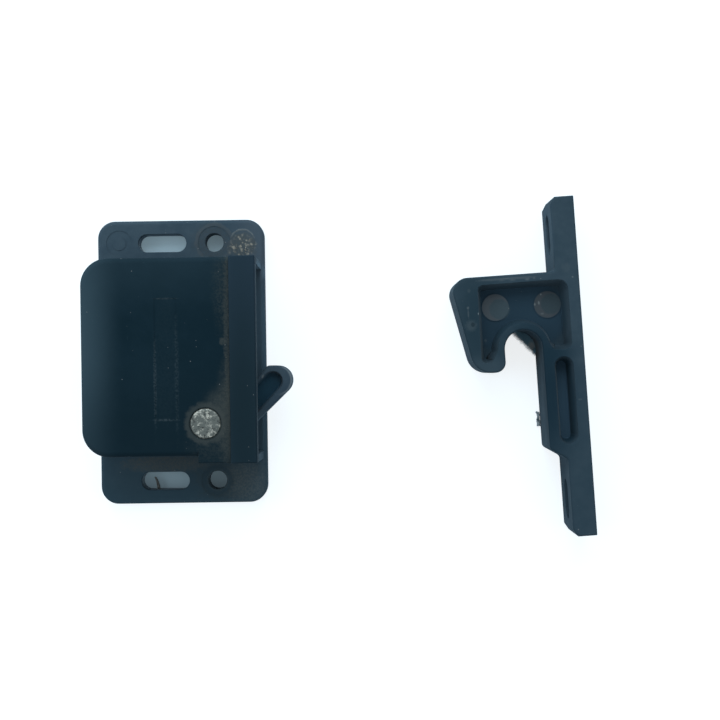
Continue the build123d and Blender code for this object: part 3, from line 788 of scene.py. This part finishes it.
class CATCH_OT_strike(bpy.types.Operator):
    """Finish the hooked strike"""

    bl_idname = "catch.strike"
    bl_label = "Strike"

    def execute(self, context):
        plastic = context.scene.catch_plastic
        painted_light_and_tones = (
            # Broad painted shade over parts of the top face.
            ((7.4, 30.0, 9.6), (5.0, 13.0, 3.0), (0.08, 300, 0.6), (0.008, 0.023, 0.038), 0.95),
            ((16.0, 19.0, 9.6), (4.0, 8.5, 3.0), (0.08, 300, 0.7), (0.012, 0.030, 0.045), 0.8),
            ((2.0, 49.0, 9.6), (6.0, 12.0, 9.0), (0.08, 300, 0.8), (0.018, 0.040, 0.060), 0.4),
            # Painted shade on the walls and painted light on the floor of the hook's pocket, then
            # of the stem's.
            ((9.6, 18.0, 7.0), (7.7, 5.9, 2.5), (0.05, 300, 0.2), (0.010, 0.032, 0.052), 0.9),
            ((9.6, 18.0, 6.2), (7.9, 5.9, 0.3), (0.0, 300, 0.1), (0.022, 0.049, 0.077), 0.95),
            ((3.3, 31.7, 7.2), (1.9, 7.7, 2.5), (0.05, 300, 0.2), (0.010, 0.032, 0.052), 0.9),
            ((3.3, 31.7, 6.2), (1.75, 7.6, 0.3), (0.0, 300, 0.2), (0.036, 0.078, 0.122), 0.95),
            # Lip, painted light on the front of the plate, and a darker top beside the notch.
            ((15.6, 25.8, 9.6), (3.2, 1.7, 2.0), (0.08, 300, 0.6), (0.036, 0.062, 0.084), 0.6),
            ((3.7, 6.0, 4.8), (0.35, 7.5, 4.6), (0.08, 300, 0.2), (0.050, 0.090, 0.125), 0.85),
            ((5.6, 24.3, 9.6), (3.4, 1.2, 1.5), (0.08, 300, 0.6), (0.009, 0.026, 0.042), 0.6),
        )
        tones = [(area(on_strike(*spot), reach, *how), tone, strength)
                 for spot, reach, how, tone, strength in painted_light_and_tones]
        material = moulded_plastic(
            "strike plastic", plastic.strike_dark, plastic.strike_light, tones,
            self.ejector_marks() + self.pale_marks() + self.dark_marks(),
            flow=(1.0, 0.15, 0.4), wear=0.5, lie=strike_place)
        moulding("strike", "strike_moulding", material, "strike")
        return {"FINISHED"}

    def ejector_marks(self):
        """Two frosted discs, each with a darker middle that sits a little off, so that a pale
        crescent on one side is a painted highlight on the mark's rim.
        """
        stains = []
        for disc, middle, share in (((13.0, 16.4), (12.36, 16.73), 1.0),
                                    ((4.78, 16.5), (4.2, 16.45), 0.74)):
            frosted = Vector((0.082, 0.104, 0.122)) * share
            darker = Vector((0.050, 0.085, 0.108)) * share
            stains += [
                (area(on_strike(*disc, 4.8), (2.13, 2.13, 9.0), 0.0, 900, 0.03),
                 frosted, 0.85, 0.8),
                (area(on_strike(*middle, 4.8), (1.62, 1.62, 9.0), 0.12, 1500, 0.12),
                 darker, 0.85, 0.7),
            ]
        return stains

    def pale_marks(self):
        """Nicks and rubbed spots: out, down, half width, half length and strength of each."""
        marks = (
            (17.24, 13.69, 0.25, 0.30, 0.10), (17.59, 16.31, 0.20, 0.20, 0.28),
            (17.6, 17.2, 0.12, 0.7, 0.2), (14.9, 21.5, 0.22, 0.25, 0.2),
            (17.3, 19.1, 0.8, 0.8, 0.14), (2.0, 11.14, 0.7, 0.7, 0.07),
            (13.5, 12.2, 2.2, 0.18, 0.22), (9.5, 12.2, 2.6, 0.18, 0.22),
            (12.0, 12.43, 0.5, 0.12, 0.16), (10.3, 12.47, 0.45, 0.12, 0.2),
            (8.1, 12.5, 0.35, 0.17, 0.35), (7.0, 12.4, 0.2, 0.14, 0.25),
            (1.05, 12.66, 0.12, 0.12, 0.55), (1.2, 31.7, 0.3, 0.15, 0.15),
            (6.74, 16.35, 0.12, 0.2, 0.9), (6.1, 16.2, 0.14, 0.28, 0.9),
            (5.7, 14.85, 0.12, 0.12, 0.8), (5.7, 17.9, 0.25, 0.15, 0.4),
            (10.9, 16.7, 0.1, 0.12, 0.6), (16.02, 17.31, 0.1, 0.16, 0.8),
        )
        return [(area(on_strike(out, down, 8.0), (wide, long, 9.0), 0.7, 2600, 0.45),
                 (0.13, 0.17, 0.19), strength, 0.8)
                for out, down, wide, long, strength in marks]

    def dark_marks(self):
        """A dark dot by the hook's nose and a brown patch low in the notch."""
        return [
            (area(on_strike(17.0, 18.95, 9.6), (0.3, 0.35, 1.0), 0.3, 2200, 0.4),
             (0.010, 0.022, 0.032), 0.7, 0.6),
            (area(on_strike(6.4, 23.4, 2.0), (1.2, 2.4, 3.6), 0.7, 1100, 0.5, 0.5),
             (0.050, 0.044, 0.034), 0.7, 0.9),
        ]


class CATCH_OT_pin(bpy.types.Operator):
    """Turn the pivot pin with its worn end and its sunk head"""

    bl_idname = "catch.pin"
    bl_label = "Pivot pin"

    def execute(self, context):
        shank = 2.35 * MM
        head = (PIN_HIGH.x - PIN_LOW.x) / 2
        head_top = PIN_LOW.z + 1.2 * MM
        chamfer = 0.25 * MM
        neck = PIN_HIGH.z - 0.22 * MM
        shoulder = 0.08 * MM
        face_low = PIN_HIGH.z - 0.1 * MM
        rim = shank - 0.2 * MM
        rings = 9
        worn = 0.021 * MM
        profile = [(0.0, PIN_LOW.z), (head - chamfer, PIN_LOW.z), (head, PIN_LOW.z + chamfer),
                   (head, head_top), (shank, head_top), (shank, neck),
                   (shank - shoulder, PIN_HIGH.z - shoulder)]
        profile += [(rim * (rings - step) / rings, PIN_HIGH.z) for step in range(rings + 1)]
        shape = bmesh.new()
        points = [shape.verts.new((radius, 0.0, height)) for radius, height in profile]
        lines = [shape.edges.new(pair) for pair in zip(points, points[1:])]
        bmesh.ops.spin(shape, geom=points + lines, cent=ORIGIN, axis=(0, 0, 1), dvec=ORIGIN,
                       angle=math.tau, steps=72, use_merge=True, use_duplicate=False)
        bmesh.ops.remove_doubles(shape, verts=shape.verts, dist=0.001 * MM)
        bmesh.ops.recalc_face_normals(shape, faces=shape.faces)
        for vert in shape.verts:
            if vert.co.z > face_low:
                dent = noise.noise(vert.co * 900.0) + 0.5 * noise.noise(vert.co * 2100.0)
                vert.co.z -= worn * (1.0 + dent)
        bmesh.ops.translate(shape, verts=shape.verts, vec=(PIN_CENTRE.x, PIN_CENTRE.y, 0.0))
        material = steel("worn steel", (0.50, 0.56, 0.53), (0.112, 0.142, 0.142),
                         (0.022, 0.031, 0.033), 0.45, fleck_share=0.47, shine=0.6)
        new_piece("pivot_pin_end", shape, material, "frame", replaced=("pivot_pin",))
        return {"FINISHED"}


class CATCH_OT_works(bpy.types.Operator):
    """Finish the works inside the case"""

    bl_idname = "catch.works"
    bl_label = "Works"

    def execute(self, context):
        plastic = context.scene.catch_plastic
        bright = steel("ground steel", (0.55, 0.55, 0.54), (0.42, 0.42, 0.42),
                       (0.16, 0.13, 0.10), 0.34)
        wire = steel("spring wire", (0.42, 0.42, 0.43), (0.30, 0.30, 0.31),
                     (0.12, 0.09, 0.07), 0.36)
        inner = moulded_plastic("inner plastic", plastic.cover_dark, plastic.plate_dark, wear=0.6)
        for name, material in (("toggle_pin", bright), ("swivel_pin", bright),
                               ("toggle_spring", wire), ("spring_rod", inner),
                               ("spring_swivel", inner)):
            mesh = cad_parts[name].data
            mesh.materials.clear()
            mesh.materials.append(material)
        return {"FINISHED"}


class CATCH_OT_residue(bpy.types.Operator):
    """Scatter the dried residue on the plate and the grit at the foot of the bar"""

    bl_idname = "catch.residue"
    bl_label = "Residue"

    def execute(self, context):
        dirt = context.scene.catch_dirt
        chance = random.Random(dirt.seed)
        self.crust(dirt, chance)
        self.foot_grit(dirt, chance)
        return {"FINISHED"}

    def crust(self, dirt, chance):
        """Grains in the lower part of a round mark, half sunk in the plate."""
        mark_radius = 2.0 * MM
        mark_top = 0.5 * MM
        sunk = Vector((0, 0, 0.12 * MM))
        places = []
        while len(places) < dirt.crust_grains:
            spot = Vector((chance.uniform(-2.0, 1.9), chance.gauss(-0.9, 0.8), 0.0)) * MM
            if spot.length < mark_radius and spot.y < mark_top:
                places.append(RESIDUE_MARK + spot - sunk)
        sizes = [chance.triangular(0.03, 0.13, 0.05) * MM for place in places]
        new_piece("plate_crust", grains(places, sizes, chance),
                  dry_dirt("plate crust", dirt.crust, (0.075, 0.072, 0.055)),
                  "frame")

    def foot_grit(self, dirt, chance):
        """Fine grains that lie close to the bar, and spread wider near the pin."""
        pin_reach = 2.5 * MM
        spread = 3.0 * MM
        bar_end = 14.6
        busiest = -6.0
        narrow, extra, widest_at, fade = 0.25, 0.9, -8.0, 4.5
        places = []
        while len(places) < dirt.foot_grains:
            y = chance.triangular(-bar_end, bar_end, busiest) * MM
            width = (narrow + extra * math.exp(-((y / MM - widest_at) / fade) ** 2)) * MM
            spot = Vector((BAR_FOOT - abs(chance.gauss(0.0, 1.0)) * width, y, COVER_HIGH.z))
            from_pin = (spot.xy - PIN_CENTRE.xy).length
            if from_pin > pin_reach and spot.x > BAR_FOOT - spread:
                places.append(spot)
        sizes = [chance.uniform(0.018, 0.045) * MM for place in places]
        new_piece("foot_grit", grains(places, sizes, chance),
                  dry_dirt("foot grit", (0.10, 0.105, 0.095), dirt.brown),
                  "frame")


class CATCH_OT_flash(bpy.types.Operator):
    """Add the flash left in the strike's notch, which also carries painted shade there, the burr on
    its front and the sliver in a slot
    """

    bl_idname = "catch.flash"
    bl_label = "Flash and burrs"

    def execute(self, context):
        chance = random.Random(context.scene.catch_dirt.seed + 1)
        across = Vector((0.74, 0.67, 0.0))
        self.notch_web(across, start=0.95 * MM, thickness=0.9 * MM)
        self.front_burr(dry_dirt("burr", (0.30, 0.39, 0.45), (0.10, 0.15, 0.18)), chance)
        self.slot_sliver(dry_dirt("dark sliver", (0.16, 0.18, 0.18), (0.07, 0.085, 0.09)))
        return {"FINISHED"}

    def web_material(self, across, start):
        """Painted shade: as dark as the strike at the notch's wall, thinning out to a pale ragged
        edge.
        """
        material, tree, place, surface = new_material("notch flash and shade")
        spot = strike_place(tree, place)
        off = vector_maths(tree, "SUBTRACT", spot, Vector(on_strike(*NOTCH, 0.0)) * MM)
        depth = vector_maths(tree, "DOT_PRODUCT", off, across, output="Value")
        grain = maths(tree, "SUBTRACT", noise_value(tree, place, 1900.0, detail=5.0), 0.5)
        depth = maths(tree, "ADD", depth, times(tree, grain, 0.9 * MM))
        solid = smooth_step(tree, depth, start + 0.05 * MM, start + 0.95 * MM)
        colour = mix_colour(tree, solid, (0.60, 0.75, 0.85, 1.0), (0.10, 0.21, 0.29, 1.0))
        brown = area(on_strike(7.0, 22.75, 0.9), (0.45, 0.65, 2.0), 0.6, 1500, 0.6)(tree, spot)
        colour = mix_colour(tree, times(tree, brown, 0.4), colour, (0.42, 0.38, 0.33, 1.0))
        plug(tree, surface, {
            "Base Color": colour, "Alpha": solid, "Roughness": 0.8, "Specular IOR Level": 0.1,
            "Normal": bumped(tree, grain, 0.4, 0.03)})
        return material

    def notch_web(self, across, start, thickness):
        """Thin skin across one side of the notch, from a ragged line out to the notch's wall, which
        carries painted shade.
        """
        overlap = 0.05
        ragged = 0.3 * MM
        shape = bmesh.new()
        bmesh.ops.create_circle(shape, cap_ends=True, segments=72,
                                radius=(NOTCH_RADIUS + overlap) * MM)
        bmesh.ops.bisect_plane(shape, geom=shape.verts[:] + shape.edges[:] + shape.faces[:],
                               plane_co=across * start, plane_no=across, clear_inner=True)
        grown = bmesh.ops.extrude_face_region(shape, geom=shape.faces[:])["geom"]
        upper = [part for part in grown if isinstance(part, bmesh.types.BMVert)]
        bmesh.ops.translate(shape, verts=upper, vec=(0, 0, thickness))
        bmesh.ops.recalc_face_normals(shape, faces=shape.faces)
        bmesh.ops.triangulate(shape, faces=shape.faces)
        bmesh.ops.subdivide_edges(shape, edges=shape.edges, cuts=3, use_grid_fill=True)
        for vert in shape.verts:
            inward = (start - vert.co.dot(across)) / MM
            if inward > -0.35:
                vert.co += across * (ragged * noise.noise(vert.co * 900.0))
        bmesh.ops.translate(shape, verts=shape.verts, vec=Vector(on_strike(*NOTCH, 0.05)) * MM)
        self.lay_with_strike(shape)
        new_piece("notch_flash_and_shade", shape, self.web_material(across, start),
                  "strike")

    def front_burr(self, material, chance):
        """A ragged flake on the lower edge of the strike's front face."""
        front = 6.45
        places = [Vector(on_strike(front + chance.triangular(0.0, 0.52, 0.15),
                                   chance.uniform(33.6, 35.8), chance.uniform(0.2, 0.6))) * MM
                  for grain in range(110)]
        sizes = [chance.uniform(0.07, 0.17) * MM for place in places]
        shape = grains(places, sizes, chance)
        self.lay_with_strike(shape)
        new_piece("front_burr", shape, material, "strike")

    def slot_sliver(self, material):
        """A thin bent sliver that lies in the plate's lower slot."""
        length = 2.0 * MM
        sideways = 0.55 * MM
        bumps = 0.05 * MM
        place = Vector((-9.75, -19.55, 1.1)) * MM
        shape = bmesh.new()
        bmesh.ops.create_cone(shape, cap_ends=True, segments=10, radius1=0.30 * MM,
                              radius2=0.16 * MM, depth=length,
                              matrix=Matrix.Rotation(math.radians(-90), 4, "X"))
        bmesh.ops.subdivide_edges(shape, edges=shape.edges, cuts=4, use_grid_fill=True)
        for vert in shape.verts:
            along = vert.co.y / length + 0.5
            vert.co.x -= sideways * along * along
            vert.co += Vector((1, 0, 1)) * (bumps * noise.noise(vert.co * 2500.0))
        bmesh.ops.translate(shape, verts=shape.verts, vec=place)
        new_piece("slot_sliver", shape, material, "frame")

    def lay_with_strike(self, shape):
        """Moves a shape made in the strike's own lie to where the strike lies."""
        lying = Matrix.Translation(STRIKE_CORNER) @ Matrix.Rotation(STRIKE_TILT, 4, "Z")
        bmesh.ops.transform(shape, matrix=lying, verts=shape.verts)


class CATCH_PT_looks(bpy.types.Panel):
    """Lists the steps that finish the catch"""

    bl_idname = "CATCH_PT_looks"
    bl_label = "Catch"
    bl_space_type = "VIEW_3D"
    bl_region_type = "UI"
    bl_category = "Catch"

    def draw(self, context):
        for group in settings():
            box = self.layout.box()
            for name in group.bl_rna.properties.keys():
                if name not in ("rna_type", "name"):
                    box.prop(group, name)
        for step in STEPS:
            self.layout.operator(step.bl_idname)


GROUPS = {"catch_stage": CatchStage, "catch_plastic": CatchPlastic, "catch_dirt": CatchDirt}
STEPS = (CATCH_OT_stage, CATCH_OT_base, CATCH_OT_cover, CATCH_OT_finger, CATCH_OT_strike,
         CATCH_OT_pin, CATCH_OT_works, CATCH_OT_residue, CATCH_OT_flash)


def register():
    for kind in (*GROUPS.values(), *STEPS, CATCH_PT_looks):
        bpy.utils.register_class(kind)
    for name, kind in GROUPS.items():
        setattr(bpy.types.Scene, name, PointerProperty(type=kind))


def unregister():
    for name in GROUPS:
        delattr(bpy.types.Scene, name)
    for kind in reversed((*GROUPS.values(), *STEPS, CATCH_PT_looks)):
        bpy.utils.unregister_class(kind)


def main():
    register()
    bpy.ops.catch.stage()
    bpy.ops.catch.base()
    bpy.ops.catch.cover()
    bpy.ops.catch.finger()
    bpy.ops.catch.strike()
    bpy.ops.catch.pin()
    bpy.ops.catch.works()
    bpy.ops.catch.residue()
    bpy.ops.catch.flash()


if __name__ == "__main__":
    main()
